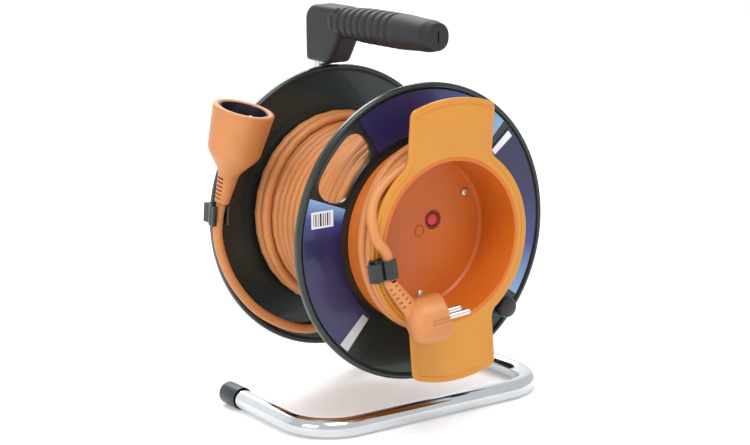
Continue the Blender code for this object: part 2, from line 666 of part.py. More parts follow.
def coupler_lead_route():
    """From the winding along the rear flange's inner face and up its left edge to the coupler."""
    end = coupler_point(COUPLER_RELIEF_END + 0.0005)
    return [
        Vector((0.0260, 0.0572, -0.0832)),
        Vector((0.0080, 0.0573, -0.0945)),
        Vector((-0.0100, 0.0575, -0.1010)),
        Vector((-0.0280, 0.0575, -0.1025)),
        Vector((-0.0450, 0.0575, -0.0990)),
        Vector((-0.0640, 0.0572, -0.0900)),
        Vector((-0.0820, 0.0565, -0.0775)),
        Vector((-0.0965, 0.0560, -0.0620)),
        Vector((-0.1080, 0.0560, -0.0440)),
        Vector((-0.1155, 0.0558, -0.0250)),
        Vector((-0.1191, 0.0548, -0.0080)),
        Vector((-0.1194, 0.0524, 0.0050)),
        end - 0.0060 * COUPLER_AXIS,
        end,
    ]


def channel(centre, inner, outer, opening, steps=10):
    """A C-shaped wall: all round except the opening, given as (start, end) in degrees."""
    start, end = opening
    return arc(centre, outer, end, start + 360, steps) + arc(centre, inner, start + 360, end, steps)


def make_clips():
    """Black snap-on clips: one on the rear flange's rim, one over the hub's ring."""
    hold = Vector((-0.1188, 0.0522, 0.0095))
    radius = math.hypot(hold.x, hold.z)
    half = 0.0080
    # the section is drawn as (radius, y), then stood up along the rim
    c_wall = channel((radius, hold.y), 0.0064, 0.0084, (-135, -45))
    saddle = [(0.1140, hold.y + 0.0070), (0.1230, hold.y + 0.0040), (0.1232, 0.0700), (0.1140, 0.0700),
              (0.1140, 0.0678), (0.1204, 0.0678), (0.1204, 0.0602), (0.1140, 0.0602)]
    centre_angle = math.degrees(math.atan2(hold.z, hold.x)) % 360
    clip = section_piece("coupler_clip", c_wall, centre_angle, half)
    cut(clip, section_piece("coupler_clip_saddle", saddle, centre_angle, half - 0.0002), "UNION")
    lip_corners = ((0.0058, -0.0064), (0.0090, -0.0090), (0.0108, -0.0078), (0.0082, -0.0020),
                   (0.0060, -0.0030))
    lip = [(radius + out, hold.y + back) for out, back in lip_corners]
    cut(clip, section_piece("coupler_clip_lip", lip, centre_angle, half - 0.0004), "UNION")

    first = channel((0.0785, -0.1095), 0.0046, 0.0063, (5, 75))
    second = channel(CLIP_CHANNEL, 0.0048, 0.0064, (145, 215))
    ring_clip = section_piece("hub_clip", second, HUB_CLIP_ANGLE, 0.0075)
    cut(ring_clip, section_piece("hub_clip_outer_channel", first, HUB_CLIP_ANGLE, 0.0073), "UNION")
    front = RIM_Y - GAP
    saddle = [(0.0590, front - 0.0022), (0.0768, front - 0.0022), (0.0768, RIM_Y + PLATE - 0.0012),
              (0.0754, RIM_Y + PLATE - 0.0012), (0.0754, front), (0.0619, front), (0.0613, RIM_Y + 0.0110),
              (0.0592, RIM_Y + 0.0110)]
    cut(ring_clip, section_piece("hub_clip_saddle", saddle, HUB_CLIP_ANGLE, 0.0071), "UNION")


def section_piece(name, section, degrees, half_length):
    """A (radius, y) section stood at an angle round the drum and extruded along the rim."""
    builder = bmesh.new()
    rings = []
    for side in (-half_length, half_length):
        rings.append([builder.verts.new(section_point(corner, degrees, side)) for corner in section])
    bridge(builder, rings, closed=False)
    return piece(name, builder, BLACK_PLASTIC)


def make_lead_outlet():
    """Snap-in outlet in the hub's neck, where the plug's lead comes out of the drum."""
    section = [(0.0697, -0.0793), (0.0785, -0.0793), (0.0785, -0.0690), (0.0722, -0.0690), (0.0714, -0.0712)]
    section_piece("lead_outlet", section, 68.0, 0.0060)


def make_leads():
    cord_tube("plug_lead", smooth_route(plug_lead_route(), 0.012))
    cord_tube("coupler_lead", smooth_route(coupler_lead_route(), 0.010))


make_stand()
make_grip()
make_axle()
make_flanges()
make_barrel()
make_winged_hub()
make_screws()
make_bushings()
make_cutout()
make_terminals()
make_knob()
make_labels()
make_windings()
make_plug()
make_coupler()
make_clips()
make_lead_outlet()
make_leads()
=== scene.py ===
"""Looks of an extension cord reel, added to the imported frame.  Lengths are metres.

Shapes are drawn from the reel centre, the point on the drum's axis midway between the flanges, and
moved to the frame at the end.  +X is the user's right, +Y the back and +Z up; the drum turns about Y.
"""
import json
import math

import bmesh
import bpy
from mathutils import Matrix, Vector


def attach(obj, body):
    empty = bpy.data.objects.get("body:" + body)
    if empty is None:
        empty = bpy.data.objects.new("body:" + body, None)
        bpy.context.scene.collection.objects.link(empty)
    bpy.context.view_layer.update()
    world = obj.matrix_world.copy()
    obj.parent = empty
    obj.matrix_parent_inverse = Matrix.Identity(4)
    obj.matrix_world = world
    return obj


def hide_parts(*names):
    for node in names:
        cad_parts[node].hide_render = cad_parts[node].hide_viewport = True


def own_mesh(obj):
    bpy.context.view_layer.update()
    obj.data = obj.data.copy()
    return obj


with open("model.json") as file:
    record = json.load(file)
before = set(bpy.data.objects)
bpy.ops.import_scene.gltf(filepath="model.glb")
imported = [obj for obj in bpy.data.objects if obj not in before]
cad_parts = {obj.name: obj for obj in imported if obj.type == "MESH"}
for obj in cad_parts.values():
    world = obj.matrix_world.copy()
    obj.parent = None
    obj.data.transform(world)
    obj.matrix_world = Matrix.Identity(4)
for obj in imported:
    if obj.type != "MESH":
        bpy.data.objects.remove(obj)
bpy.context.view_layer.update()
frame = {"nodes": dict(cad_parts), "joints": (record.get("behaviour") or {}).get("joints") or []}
SPIN = next(joint for joint in frame["joints"] if joint["name"] == "drum_spin")
REEL = Vector(SPIN["pos_m"])

# ---- sizes shared with the design ---------------------------------------------------------------
FLANGE_RADIUS = 0.120
WINDING_WIDTH = 0.124
WEB = 0.003
BEAD = 0.0048
NECK_OPENING = 0.0648
RIM_Y = -0.1024
PLATE = 0.0036
CUP_RADIUS = 0.0629
CUP_FLOOR_Y = -0.0600
RING_RADIUS = 0.0750
WING_HALF_WIDTH = 0.040
WING_RADIUS = 0.1130
WING_CORNER = 0.007
WING_FILLET = 0.012
WING_FLARE = 0.12            # how far the wings lean forward past the ring
TUBE_RADIUS = 0.008
POST_Y = 0.0765
FOOT_HALF_WIDTH = 0.115
FOOT_FRONT_Y = -0.080
FOOT_BEND = 0.040
POST_BEND = 0.060
GRIP_BEND = 0.028
GRIP_Z = 0.1570
CORD = 0.008                 # cord diameter
NECK_BORE = 0.0645           # the ring's hole, which the cup's wall fills
SCREW_CIRCLE = 0.052
SCREW_ANGLES = (30.0, 150.0, 270.0)
CUTOUT = (0.0130, 0.0075)
KNOB_CIRCLE, KNOB_ANGLE = 0.097, -45.0
PIN_OFFSET = 0.0095
COUPLER_RIM = Vector((-0.1043, 0.0326, 0.0979))
COUPLER_AXIS = Vector((0.1751, -0.2084, 1.0)).normalized()
COUPLER_RELIEF_END = 0.0810
PLUG_FACE = Vector((-0.0259, -0.1254, -0.0510))
PLUG_AXIS = Vector((0.954, -0.252, 0.161)).normalized()
PLUG_PIN_LINE = Vector((0.271, 0.957, -0.106)).normalized()
SLOTS_FACE = Vector((-0.556, -0.802, 0.219))
HUB_CLIP_ANGLE = 189.0
CLIP_CHANNEL = (0.0672, -0.1115)


# ---- materials ----------------------------------------------------------------------------------
def surface(name, colour, roughness, metallic=0.0, grain=400.0, bump=0.04, stain=0.10, coat=0.0, soft=0.0):
    """A moulded or plated surface: a fine grain, slow changes of tone and an uneven polish."""
    made = bpy.data.materials.new(name)
    made["slot"] = name
    made.use_nodes = True
    nodes = made.node_tree.nodes
    links = made.node_tree.links
    shader = nodes["Principled BSDF"]
    shader.inputs["Metallic"].default_value = metallic
    shader.inputs["Coat Weight"].default_value = coat
    shader.inputs["Subsurface Weight"].default_value = soft
    shader.inputs["Subsurface Scale"].default_value = 0.003
    where = nodes.new("ShaderNodeTexCoord")

    slow = nodes.new("ShaderNodeTexNoise")
    slow.inputs["Scale"].default_value = 22.0
    slow.inputs["Detail"].default_value = 5.0
    links.new(where.outputs["Object"], slow.inputs["Vector"])
    tone = nodes.new("ShaderNodeValToRGB")
    tone.color_ramp.elements[0].position = 0.35
    tone.color_ramp.elements[1].position = 0.70
    tone.color_ramp.elements[0].color = (*[channel * (1 - stain) for channel in colour], 1)
    tone.color_ramp.elements[1].color = (*[min(1.0, channel * (1 + stain)) for channel in colour], 1)
    links.new(slow.outputs["Fac"], tone.inputs["Fac"])
    links.new(tone.outputs["Color"], shader.inputs["Base Color"])

    fine = nodes.new("ShaderNodeTexNoise")
    fine.inputs["Scale"].default_value = grain
    fine.inputs["Detail"].default_value = 3.0
    links.new(where.outputs["Object"], fine.inputs["Vector"])
    polish = nodes.new("ShaderNodeMapRange")
    polish.inputs["To Min"].default_value = roughness * 0.85
    polish.inputs["To Max"].default_value = min(1.0, roughness * 1.2)
    links.new(slow.outputs["Fac"], polish.inputs["Value"])
    links.new(polish.outputs["Result"], shader.inputs["Roughness"])
    relief = nodes.new("ShaderNodeBump")
    relief.inputs["Strength"].default_value = bump
    relief.inputs["Distance"].default_value = 0.0004
    links.new(fine.outputs["Fac"], relief.inputs["Height"])
    links.new(relief.outputs["Normal"], shader.inputs["Normal"])
    return made


def printed_film(name, stops):
    """A printed label whose colour changes round the drum's axis; stops are (degrees, colour)."""
    made = surface(name, (0.1, 0.1, 0.3), 0.32, bump=0.02, coat=0.3)
    nodes = made.node_tree.nodes
    links = made.node_tree.links
    where = nodes.new("ShaderNodeTexCoord")
    placed = nodes.new("ShaderNodeMapping")
    placed.vector_type = "POINT"
    placed.inputs["Rotation"].default_value = (-math.pi / 2, 0, 0)
    placed.inputs["Location"].default_value = (-REEL.x, -REEL.z, REEL.y)
    links.new(where.outputs["Object"], placed.inputs["Vector"])
    sweep_round = nodes.new("ShaderNodeTexGradient")
    sweep_round.gradient_type = "RADIAL"
    links.new(placed.outputs["Vector"], sweep_round.inputs["Vector"])
    ramp = nodes.new("ShaderNodeValToRGB")
    ordered = sorted(((degrees + 180) % 360 / 360.0, colour) for degrees, colour in stops)
    ramp.color_ramp.elements[0].position = ordered[0][0]
    ramp.color_ramp.elements[0].color = (*ordered[0][1], 1)
    ramp.color_ramp.elements[1].position = ordered[-1][0]
    ramp.color_ramp.elements[1].color = (*ordered[-1][1], 1)
    for position, colour in ordered[1:-1]:
        ramp.color_ramp.elements.new(position).color = (*colour, 1)
    links.new(sweep_round.outputs["Fac"], ramp.inputs["Fac"])
    links.new(ramp.outputs["Color"], nodes["Principled BSDF"].inputs["Base Color"])
    return made


CHROME = surface("chrome", (0.67, 0.69, 0.71), 0.11, 1.0, grain=900, bump=0.015, stain=0.04)
ZINC = surface("zinc_steel", (0.62, 0.61, 0.57), 0.33, 1.0, grain=1500, bump=0.10, stain=0.12)
NICKEL = surface("plated_brass", (0.70, 0.69, 0.66), 0.24, 1.0, grain=300, bump=0.005, stain=0.03)
BRASS = surface("brass", (0.72, 0.50, 0.20), 0.28, 1.0, grain=1200, bump=0.05)
SPRING = surface("spring_steel", (0.40, 0.41, 0.42), 0.30, 1.0)
FLANGE = surface("flange_plastic", (0.011, 0.021, 0.020), 0.25, grain=1100, bump=0.05, stain=0.25, coat=0.18)
AMBER = surface("hub_plastic", (0.62, 0.250, 0.022), 0.30, grain=900, bump=0.035, stain=0.05, soft=0.08)
# a darker, redder copy of the hub plastic: painted shade for the cup's inside and the neck
AMBER_PAINTED_SHADE = surface("hub_plastic_painted_shade", (0.60, 0.140, 0.011), 0.38, grain=900, bump=0.035, stain=0.05)
AMBER_PAINTED_SHADE["slot"] = "hub_plastic"      # the same plastic, made darker and redder as painted shade deep in the cup and on the neck
BLACK = surface("black_plastic", (0.014, 0.017, 0.022), 0.34, grain=1200, bump=0.06, stain=0.2)
GREY = surface("grey_plastic", (0.20, 0.20, 0.21), 0.50)
NYLON = surface("natural_nylon", (0.70, 0.68, 0.62), 0.45, soft=0.1)
GRIP = surface("grip_rubber", (0.009, 0.009, 0.012), 0.55, grain=1600, bump=0.16, stain=0.2)
ORANGE = surface("orange_pvc", (0.60, 0.228, 0.068), 0.40, grain=900, bump=0.05, stain=0.09, soft=0.06)
RED = surface("red_plastic", (0.55, 0.018, 0.022), 0.24, bump=0.02, coat=0.2)
# a darker copy of the red plastic: painted shade for the ring in the recess round the button
RED_PAINTED_SHADE = surface("dark_red_plastic", (0.21, 0.022, 0.010), 0.35)
WHITE_FILM = surface("white_film", (0.80, 0.81, 0.82), 0.35, bump=0.02, stain=0.03)
SILVER_FILM = surface("silver_film", (0.55, 0.56, 0.57), 0.35, 0.4, bump=0.02)
NAVY, DEEP, SKY = (0.012, 0.012, 0.075), (0.030, 0.045, 0.22), (0.22, 0.40, 0.66)
TOP_FILM = printed_film("label_film_top", ((122, NAVY), (95, NAVY), (70, DEEP), (45, SKY)))
LEFT_FILM = printed_film("label_film_left", ((159, SKY), (167, DEEP), (176, NAVY), (229, NAVY)))
RIGHT_FILM = printed_film("label_film_right", ((41, NAVY), (10, NAVY), (-12, DEEP), (-35, SKY)))
for film in (TOP_FILM, LEFT_FILM, RIGHT_FILM, WHITE_FILM, SILVER_FILM):
    film["slot"] = "label_film"


# ---- modelling helpers --------------------------------------------------------------------------
SHARP_ANGLE = math.radians(32)     # edges that turn further than this stay crisp


def add(name, builder, finish, body, replaces=(), turn=None, place=Vector((0, 0, 0))):
    """A piece from a bmesh drawn round `place`, moved to the frame and tied to its body."""
    bmesh.ops.recalc_face_normals(builder, faces=builder.faces[:])
    matrix = Matrix.Translation(REEL + place)
    if turn is not None:
        matrix = matrix @ turn.to_matrix().to_4x4()
    builder.transform(matrix)
    mesh = bpy.data.meshes.new(name)
    builder.to_mesh(mesh)
    builder.free()
    mesh.materials.append(finish)
    mesh.shade_smooth()
    mesh.set_sharp_from_angle(angle=SHARP_ANGLE)
    made = bpy.data.objects.new(name, mesh)
    bpy.context.scene.collection.objects.link(made)
    return settle(made, body, replaces)


def settle(made, body, replaces=()):
    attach(made, body)
    if replaces:
        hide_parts(*replaces)
    return made


def apply_modifiers(made):
    """Keeps the evaluated shape as the piece's own mesh."""
    bpy.context.view_layer.update()
    shape = bpy.data.meshes.new_from_object(made.evaluated_get(bpy.context.evaluated_depsgraph_get()))
    made.modifiers.clear()
    made.data = shape


def carve(target, builders, turn=None, place=Vector((0, 0, 0))):
    """Cuts shapes drawn like the target out of it; the cutters are removed afterwards."""
    helpers = []
    for number, builder in enumerate(builders):
        bmesh.ops.recalc_face_normals(builder, faces=builder.faces[:])
        matrix = Matrix.Translation(REEL + place)
        if turn is not None:
            matrix = matrix @ turn.to_matrix().to_4x4()
        builder.transform(matrix)
        mesh = bpy.data.meshes.new(f"{target.name}_helper_{number}")
        builder.to_mesh(mesh)
        builder.free()
        helper = bpy.data.objects.new(mesh.name, mesh)
        bpy.context.scene.collection.objects.link(helper)
        helpers.append(helper)
        modifier = target.modifiers.new("carve", "BOOLEAN")
        modifier.operation = "DIFFERENCE"
        modifier.object = helper
        modifier.solver = "EXACT"
    apply_modifiers(target)
    for helper in helpers:
        bpy.data.objects.remove(helper)
    target.data.shade_smooth()
    target.data.set_sharp_from_angle(angle=SHARP_ANGLE)


def polar(radius, degrees, y=0.0):
    angle = math.radians(degrees)
    return Vector((radius * math.cos(angle), y, radius * math.sin(angle)))


def arc(centre, radius, start, end, steps):
    made = []
    for i in range(steps + 1):
        angle = math.radians(start + (end - start) * i / steps)
        made.append((centre[0] + radius * math.cos(angle), centre[1] + radius * math.sin(angle)))
    return made


def softened(outline, radius, steps=3):
    """The closed outline with each corner rounded; points on the axis stay sharp."""
    made = []
    count = len(outline)
    for i, corner in enumerate(outline):
        before = Vector(outline[i - 1])
        after = Vector(outline[(i + 1) % count])
        point = Vector(corner)
        if corner[0] == 0.0:
            made.append(corner)
            continue
        back = before - point
        ahead = after - point
        start = point + back.normalized() * min(radius, 0.45 * back.length)
        end = point + ahead.normalized() * min(radius, 0.45 * ahead.length)
        for k in range(steps + 1):
            t = k / steps
            made.append(tuple(start * (1 - t) ** 2 + point * (2 * t * (1 - t)) + end * t ** 2))
    return made


def bridge(builder, rings, closed):
    count = len(rings[0])
    pairs = list(zip(rings, rings[1:]))
    if closed:
        pairs.append((rings[-1], rings[0]))
    for low, high in pairs:
        for i in range(count):
            j = (i + 1) % count
            builder.faces.new((low[i], low[j], high[j], high[i]))
    if not closed:
        builder.faces.new(rings[0][::-1])
        builder.faces.new(rings[-1])


def turned(profile, segments=96, centre=(0.0, 0.0), round_off=0.0):
    """A closed (radius, y) profile turned about the Y direction."""
    if round_off:
        profile = softened(profile, round_off)
    builder = bmesh.new()
    columns = []
    for radius, y in profile:
        if radius == 0.0:
            columns.append([builder.verts.new((centre[0], y, centre[1]))])
            continue
        column = []
        for i in range(segments):
            angle = 2 * math.pi * i / segments
            across = radius * math.cos(angle)
            up = radius * math.sin(angle)
            column.append(builder.verts.new((centre[0] + across, y, centre[1] + up)))
        columns.append(column)
    for first, second in zip(columns, columns[1:] + columns[:1]):
        for i in range(segments):
            j = (i + 1) % segments
            if len(first) == 1 and len(second) == 1:
                break
            if len(first) == 1:
                builder.faces.new((first[0], second[i], second[j]))
            elif len(second) == 1:
                builder.faces.new((first[i], first[j], second[0]))
            else:
                builder.faces.new((first[i], first[j], second[j], second[i]))
    return builder


def plate(outline, y0, y1):
    builder = bmesh.new()
    rings = [[builder.verts.new((x, y, z)) for x, z in outline] for y in (y0, y1)]
    bridge(builder, rings, closed=False)
    return builder


def box(low, high):
    (x0, y0, z0), (x1, y1, z1) = low, high
    return plate([(x0, z0), (x1, z0), (x1, z1), (x0, z1)], y0, y1)


def sweep(points, radii, sides=32):
    """A solid round bar along points, with a radius for each point."""
    builder = bmesh.new()
    rings = []
    normal = None
    for i, point in enumerate(points):
        ahead = points[min(i + 1, len(points) - 1)]
        behind = points[max(i - 1, 0)]
        tangent = (ahead - behind).normalized()
        normal = tangent.orthogonal() if normal is None else normal
        normal = (normal - tangent * normal.dot(tangent)).normalized()
        side = tangent.cross(normal)
        ring = []
        for k in range(sides):
            angle = 2 * math.pi * k / sides
            offset = math.cos(angle) * normal + math.sin(angle) * side
            ring.append(builder.verts.new(point + radii[i] * offset))
        rings.append(ring)
    bridge(builder, rings, closed=False)
    return builder


def rounded_path(corners, radii, steps=16):
    path = [corners[0]]
    for before, corner, after, radius in zip(corners, corners[1:], corners[2:], radii):
        back = (before - corner).normalized()
        ahead = (after - corner).normalized()
        half = back.angle(ahead) / 2
        reach = radius / math.tan(half)
        centre = corner + (back + ahead).normalized() * (radius / math.sin(half))
        first = corner + back * reach - centre
        last = corner + ahead * reach - centre
        for i in range(steps + 1):
            path.append(centre + radius * first.slerp(last, i / steps))
    path.append(corners[-1])
    return path


def smooth_route(points, spacing):
    """Evenly spaced points of a Catmull-Rom curve through the route's own points."""
    padded = [2 * points[0] - points[1]] + points + [2 * points[-1] - points[-2]]
    fine = []
    for a, b, c, d in zip(padded, padded[1:], padded[2:], padded[3:]):
        for i in range(20):
            t = i / 20
            fine.append(0.5 * (2 * b + (c - a) * t + (2 * a - 5 * b + 4 * c - d) * t ** 2
                               + (3 * b - a - 3 * c + d) * t ** 3))
    fine.append(points[-1])
    length = route_length(fine)
    count = max(2, round(length / spacing))
    made = [fine[0]]
    walked = 0.0
    for p, q in zip(fine, fine[1:]):
        step = (q - p).length
        while len(made) < count and walked + step >= length * len(made) / count:
            made.append(p.lerp(q, (length * len(made) / count - walked) / step))
        walked += step
    made.append(fine[-1])
    return made


def route_length(points):
    return sum((q - p).length for p, q in zip(points, points[1:]))


def section_point(section, degrees, along):
    radius, y = section
    return polar(radius, degrees, y) + along * polar(1.0, degrees + 90)


def blended(table, x):
    """Smooth value of a (position, value) table at x."""
    if x <= table[0][0]:
        return table[0][1]
    for (x0, v0), (x1, v1) in zip(table, table[1:]):
        if x <= x1:
            t = (x - x0) / (x1 - x0)
            t = t * t * (3 - 2 * t)
            return v0 + (v1 - v0) * t
    return table[-1][1]


# ---- camera, light and floor --------------------------------------------------------------------
CAMERA_FROM_REEL = Vector((-0.9018, -1.3001, 0.3547))
CAMERA_TURN, CAMERA_TILT, CAMERA_ROLL = -34.70, 12.77, -0.70


def make_camera():
    turn, tilt, roll = (math.radians(a) for a in (CAMERA_TURN, CAMERA_TILT, CAMERA_ROLL))
    back = Vector((math.sin(turn) * math.cos(tilt), -math.cos(turn) * math.cos(tilt), math.sin(tilt)))
    right = Vector((0, 0, 1)).cross(back).normalized()
    up = back.cross(right)
    right_rolled = math.cos(roll) * right + math.sin(roll) * up
    up_rolled = -math.sin(roll) * right + math.cos(roll) * up
    data = bpy.data.cameras.new("camera")
    data.lens = 94.66
    data.sensor_width = 36.0
    made = bpy.data.objects.new("camera", data)
    axes = Matrix((right_rolled, up_rolled, back)).transposed().to_4x4()
    made.matrix_world = Matrix.Translation(REEL + CAMERA_FROM_REEL) @ axes
    bpy.context.scene.collection.objects.link(made)
    bpy.context.scene.camera = made


def area_light(name, place, target, size, power, colour=(1, 1, 1)):
    data = bpy.data.lights.new(name, "AREA")
    data.shape = "RECTANGLE"
    data.size, data.size_y = size
    data.energy = power
    data.color = colour
    made = bpy.data.objects.new(name, data)
    made.location = place
    made.rotation_mode = "QUATERNION"
    made.rotation_quaternion = (Vector(target) - Vector(place)).to_track_quat("-Z", "Y")
    bpy.context.scene.collection.objects.link(made)


def make_studio():
    area_light("key", (-0.3, -0.9, 1.7), (0, 0, 0.15), (0.9, 0.7), 15)
    area_light("fill", (-1.7, -0.5, 0.9), (0, 0, 0.15), (0.9, 0.9), 6.2)
    area_light("back", (0.5, 1.4, 1.3), (0, 0, 0.15), (1.4, 0.6), 14.5)
    world = bpy.data.worlds.new("studio")
    world.use_nodes = True
    background = world.node_tree.nodes["Background"]
    background.inputs["Color"].default_value = (0.96, 0.98, 1.0, 1)
    background.inputs["Strength"].default_value = 0.78
    bpy.context.scene.world = world
    bpy.context.scene.view_settings.view_transform = "Standard"
    builder = bmesh.new()
    half, back_y, height, bend = 4.0, 2.2, 3.0, 0.8
    rows = [(-4.0, 0.0)] + [(y, z + bend) for y, z in arc((back_y - bend, 0.0), bend, -90, 0, 12)]
    rows.append((back_y, height))
    rings = [[builder.verts.new((x, y, z - 0.0002)) for x in (-half, half)] for y, z in rows]
    for low, high in zip(rings, rings[1:]):
        builder.faces.new((low[0], low[1], high[1], high[0]))
    mesh = bpy.data.meshes.new("floor")
    builder.to_mesh(mesh)
    builder.free()
    mesh.shade_smooth()
    finish = surface("pale_floor", (0.90, 0.90, 0.895), 0.55, bump=0.01, stain=0.01)
    glow = finish.node_tree.nodes["Principled BSDF"].inputs
    glow["Emission Color"].default_value = (1.0, 1.0, 1.0, 1)
    glow["Emission Strength"].default_value = 0.20
    mesh.materials.append(finish)
    floor = bpy.data.objects.new("floor", mesh)
    bpy.context.scene.collection.objects.link(floor)


# ---- cords --------------------------------------------------------------------------------------
def cord_curve(name, points, body, replaces=()):
    curve = bpy.data.curves.new(name, "CURVE")
    curve.dimensions = "3D"
    curve.bevel_depth = CORD / 2
    curve.bevel_resolution = 4
    curve.resolution_u = 1
    curve.use_fill_caps = True
    spline = curve.splines.new("POLY")
    spline.points.add(len(points) - 1)
    for slot, point in zip(spline.points, points):
        slot.co = (*(point + REEL), 1.0)
    spline.use_smooth = True
    curve.materials.append(ORANGE)
    made = bpy.data.objects.new(name, curve)
    bpy.context.scene.collection.objects.link(made)
    return settle(made, body, replaces)


LAYERS = (0.0643, 0.0712, 0.0785)      # centre radius of each layer of turns
PITCH = 0.0081
STEPS = 30                             # points in one turn


def winding_points():
    """Layer by layer: front to back, back to front, then a few loose turns at each flange."""
    rear, front = 0.0575, -0.0576
    path = []
    angle = 20.0

    def lay(turns, start_y, end_y, start_radius, end_radius):
        nonlocal angle
        count = round(turns * STEPS)
        for i in range(count):
            t = i / count
            wander = 0.00022 * math.sin(0.7 + angle * 0.031) + 0.00012 * math.sin(angle * 0.0173)
            lift = 0.00018 * math.sin(angle * 0.023 + 1.9)
            radius = start_radius + (end_radius - start_radius) * t
            path.append(polar(radius + lift, angle, start_y + (end_y - start_y) * t + wander))
            angle -= 360.0 / STEPS

    first, second, third = LAYERS
    lay(13.0, -0.0490, rear - 0.0018, first, first)
    lay(0.5, rear - 0.0018, rear, first, second)
    lay(13.5, rear, front + 0.0080, second, second)
    lay(1.0, front + 0.0080, front, second, 0.0744)
    lay(0.4, front, front + 0.0020, 0.0744, third)
    lay(2.3, front + 0.0020, front + 2.6 * PITCH, third, third)
    lay(0.45, front + 2.6 * PITCH, rear - 1.9 * PITCH, third, third)
    lay(1.60, rear - 1.9 * PITCH, rear, third, third)
    while angle % 360.0 > 300.0 or angle % 360.0 < 288.0:
        path.append(polar(third, angle, rear))
        angle -= 360.0 / STEPS
    return path


def coupler_lead_points():
    end = COUPLER_RIM - (COUPLER_RELIEF_END + 0.0005) * COUPLER_AXIS
    route = [
        Vector((0.0260, 0.0572, -0.0832)),
        Vector((0.0080, 0.0573, -0.0945)),
        Vector((-0.0100, 0.0575, -0.1010)),
        Vector((-0.0280, 0.0575, -0.1025)),
        Vector((-0.0450, 0.0575, -0.0990)),
        Vector((-0.0640, 0.0572, -0.0900)),
        Vector((-0.0820, 0.0565, -0.0775)),
        Vector((-0.0965, 0.0560, -0.0620)),
        Vector((-0.1080, 0.0560, -0.0440)),
        Vector((-0.1155, 0.0558, -0.0250)),
        Vector((-0.1191, 0.0548, -0.0080)),
        Vector((-0.1194, 0.0524, 0.0050)),
        end - 0.0060 * COUPLER_AXIS,
        end,
    ]
    return smooth_route(route, 0.004)


# the lead's turns round the neck: Y and centre radius against the angle walked, in degrees
FIRST_TURN = ((73, -0.0742), (95, -0.0750), (120, -0.0775), (142, -0.0815), (168, -0.0848), (200, -0.0861),
              (480, -0.0861), (528, -0.0945), (816, -0.0945))
FIRST_TURN_RADIUS = ((73, 0.0749), (110, 0.0741), (150, 0.0730), (200, 0.0723), (500, 0.0723), (528, 0.0717))


def plug_lead_points():
    """From the outlet twice round the hub's neck, over the ring's edge, through the clip to the plug."""
    turns = []
    for degrees in range(73, 817, 10):
        y = blended(FIRST_TURN, degrees)
        turns.append(polar(blended(FIRST_TURN_RADIUS, degrees), degrees, y))
    over = [
        polar(0.0721, 834, -0.0945),
        polar(0.0747, 849, -0.0945),
        polar(0.0784, 862, -0.0948),
        polar(0.0804, 871, -0.0972),
        polar(0.0804, 879, -0.1014),
        polar(0.0784, 887, -0.1064),
        polar(0.0742, 893, -0.1090),
        section_point(CLIP_CHANNEL, HUB_CLIP_ANGLE, -0.0140) + Vector((-0.0006, 0, 0)),
        section_point(CLIP_CHANNEL, HUB_CLIP_ANGLE, -0.0080),
        section_point(CLIP_CHANNEL, HUB_CLIP_ANGLE, 0.0),
        section_point(CLIP_CHANNEL, HUB_CLIP_ANGLE, 0.0090),
    ]
    return smooth_route(turns + over, 0.005)


def make_cords():
    winding_path = winding_points()
    winding = cord_curve("wound_cord", winding_path, "drum", ["main_winding"])

    lead_path = coupler_lead_points()
    lead = cord_curve("coupler_cord", lead_path, "coupler_end", ["coupler_lead"])
    coupler_pieces = make_coupler()

    plug_path = plug_lead_points()
    plug_cord = cord_curve("plug_cord", plug_path, "drum", ["plug_lead", "plug_lead_turn"])
    plug_pieces = make_plug()


# ---- plug and coupler ---------------------------------------------------------------------------
def plug_up():
    return PLUG_AXIS.cross(PLUG_PIN_LINE).normalized()


def plug_turn():
    return Matrix((PLUG_PIN_LINE, -PLUG_AXIS, plug_up())).transposed().to_quaternion()


def coupler_turn():
    return Vector((0, -1, 0)).rotation_difference(COUPLER_AXIS)


def slots_along(centres, direction, towards):
    """Cutters for two rows of narrow slots on the side of a strain relief that faces `towards`."""
    across = direction.cross(towards).normalized()
    outward = across.cross(direction).normalized()
    turn = Matrix((across, direction.normalized(), outward)).transposed().to_4x4()
    made = []
    for centre, radius in centres:
        for side in (-0.0034, 0.0034):
            builder = box((side - 0.0019, -0.0007, 0.58 * radius), (side + 0.0019, 0.0007, radius + 0.002))
            builder.transform(Matrix.Translation(centre) @ turn)
            made.append(builder)
    return made


